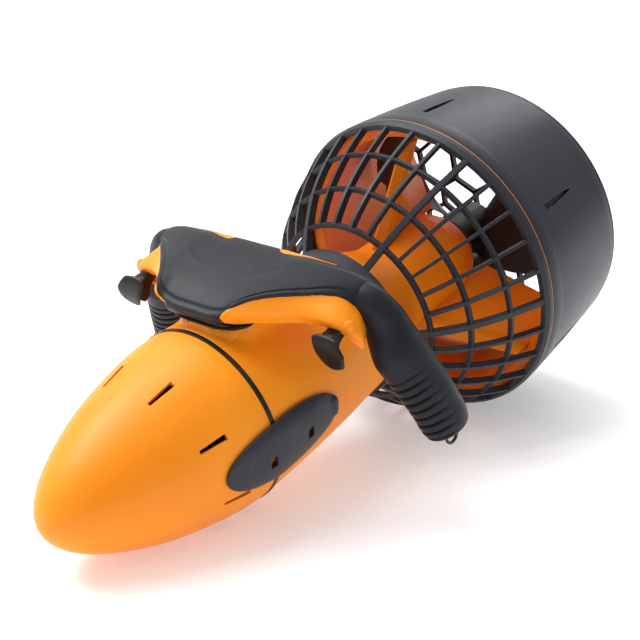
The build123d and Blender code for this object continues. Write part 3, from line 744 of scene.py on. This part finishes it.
def duct():
    """The duct: a rounded front shoulder, six narrow pockets almost as deep as its wall, which open into
    the space behind it at their front ends, and a groove before its rear band."""
    wall = 3.4
    outside = [(-7.2, 135.0), (-7.3, 136.6), (-7.9, 137.4), (-9.5, 137.9), (-13, 138.2), (-19, 138.15)]
    outside += [(-21.5, 137.75), (-23.0, 137.5)]
    for x in np.linspace(-26, -122, 25):
        bulge = 1.1 * math.sin(math.pi * (DUCT_FRONT - x) / (DUCT_FRONT - DUCT_REAR))
        outside.append((x, duct_radius(x) + bulge))
    outside += [(-125.6, 125.4), (-126.4, 125.2), (-126.7, 124.4), (-127.5, 124.4), (-127.8, 124.8)]
    outside += [(-129.0, 124.6), (-130.6, 124.1), (-131.6, 123.5), (DUCT_REAR, 122.6)]
    inside = [(DUCT_REAR, 119.6), (-126.5, 119.6), (-126.5, 122.2), (-118, duct_radius(-118) - wall)]
    inside += [(-20, duct_radius(-20) - wall), (-12, 131.5), (-7.2, 131.5)]
    obj = lathe("duct_shell", outside + inside, "black_plastic", ["duct"], 256)
    pocket = [(-34, 2.0), (-35, 2.6), (-48, 3.1), (-60, 2.4), (-72, 1.5), (-78, 0.5)]
    ring = pocket + [(x, -half) for x, half in reversed(pocket)]
    work = bmesh.new()
    for i in range(6):
        turn = Matrix.Rotation(math.radians(-60 * i), 4, "X")
        layers = []
        for r in (132.4, 150.0):
            places = [turn @ Vector((x, half, r - 0.09 * (-34 - x))) for x, half in ring]
            layers.append([work.verts.new(place) for place in places])
        count = len(layers[0])
        work.faces.new(layers[0])
        work.faces.new(layers[1][::-1])
        for k in range(count):
            n = (k + 1) % count
            work.faces.new((layers[0][k], layers[1][k], layers[1][n], layers[0][n]))
    bmesh.ops.recalc_face_normals(work, faces=work.faces)
    take_away(obj, work)


def duct_details():
    """The orange line between guard and duct, and the black sleeve behind the liner: a dark sheet of painted
    shade that makes the duct's pockets look dark instead of showing the orange liner.
    """
    lip = [(-7.1, 136.0), (-7.1, 138.5), (-6.7, 138.85), (-6.1, 138.85), (-6.05, 136.0)]
    lathe("duct_liner_lip", lip, "stator_orange", count=192)
    # Painted shade: a black sheet between the liner and the duct wall, so the pockets read dark.
    shade_sleeve = [(-20, 123.0), (-20, 124.0), (-106, 123.6), (-106, 122.7)]
    lathe("duct_shade_sleeve", shade_sleeve, "black_plastic", count=128)


# ---------------------------------------------------------------- setting

def camera():
    """A long lens above and ahead of the nose, on the rider's left."""
    eye = Vector((0.875029, 0.741612, 0.594143))
    right = Vector((-0.64435279, 0.75234208, -0.13707982))
    down = Vector((0.44852227, 0.22661514, -0.86456541))
    ahead = Vector((-0.61938457, -0.61856849, -0.48346228))
    turn = Matrix((right, -down, -ahead)).transposed().to_4x4()
    data = bpy.data.cameras.new("camera")
    data.lens = 80.72
    data.sensor_width = 36
    obj = bpy.data.objects.new("camera", data)
    bpy.context.collection.objects.link(obj)
    obj.matrix_world = REST @ Matrix.Translation(eye) @ turn
    bpy.context.scene.camera = obj


def lamp(name, place, aim, size, power):
    """A round area lamp at place, turned towards aim."""
    data = bpy.data.lights.new(name, "AREA")
    data.shape = "DISK"
    data.size = size
    data.energy = power
    obj = bpy.data.objects.new(name, data)
    bpy.context.collection.objects.link(obj)
    obj.location = place
    obj.rotation_euler = (Vector(aim) - Vector(place)).to_track_quat("-Z", "Y").to_euler()


def setting():
    """A pale floor, a soft sky that is brighter to the rider's right, two round lamps and a broad sun."""
    mesh = bpy.data.meshes.new("floor")
    reach = 6.0
    corners = [(-reach, -reach, 0), (reach, -reach, 0), (reach, reach, 0), (-reach, reach, 0)]
    mesh.from_pydata(corners, [], [(0, 1, 2, 3)])
    floor = bpy.data.objects.new("floor", mesh)
    bpy.context.collection.objects.link(floor)
    paint = bpy.data.materials.new("floor")
    paint.use_nodes = True
    shader = paint.node_tree.nodes["Principled BSDF"]
    shader.inputs["Base Color"].default_value = (0.86, 0.86, 0.875, 1)
    shader.inputs["Emission Color"].default_value = (1.0, 1.0, 1.0, 1)
    shader.inputs["Emission Strength"].default_value = 0.31
    shader.inputs["Roughness"].default_value = 0.7
    mesh.materials.append(paint)
    world = bpy.context.scene.world or bpy.data.worlds.new("world")
    bpy.context.scene.world = world
    world.use_nodes = True
    tree = world.node_tree
    back = tree.nodes["Background"]
    way = node(tree, "ShaderNodeTexCoord").outputs["Generated"]
    turn = node(tree, "ShaderNodeVectorMath", operation="DOT_PRODUCT")
    turn.inputs[1].default_value = (-0.10, -0.60, 0.79)
    tree.links.new(way, turn.inputs[0])
    share = ramp(tree, turn.outputs["Value"], 0.0, 1.0, (-0.5, 0.95))
    tree.links.new(mixed(tree, share, (0.20, 0.21, 0.24), (1.0, 1.0, 1.0)), back.inputs[0])
    back.inputs[1].default_value = 1.0
    lamp("key", (0.75, -1.35, 1.9), (0, 0, 0.1), 0.9, 20.0)
    lamp("back", (-1.6, -0.5, 1.5), (-0.1, 0, 0.1), 1.0, 6.0)
    sun = bpy.data.lights.new("sun", "SUN")
    sun.energy = 1.9
    sun.angle = math.radians(50)
    sun_at = bpy.data.objects.new("sun", sun)
    bpy.context.collection.objects.link(sun_at)
    sun_at.rotation_euler = Vector((0.25, -0.75, 1.6)).to_track_quat("Z", "Y").to_euler()
    bpy.context.scene.view_settings.view_transform = "Standard"


camera()
setting()
body_shell()
handle_cover()
handle_frame()
handle_prow()
handle_base()
duct()
duct_details()
for right_side in (False, True):
    latch_hinge(right_side)
    crescent(right_side)
    inlay(right_side)
    pivot_button(right_side)
    grip(right_side)
    trigger(right_side)
    latch(right_side)
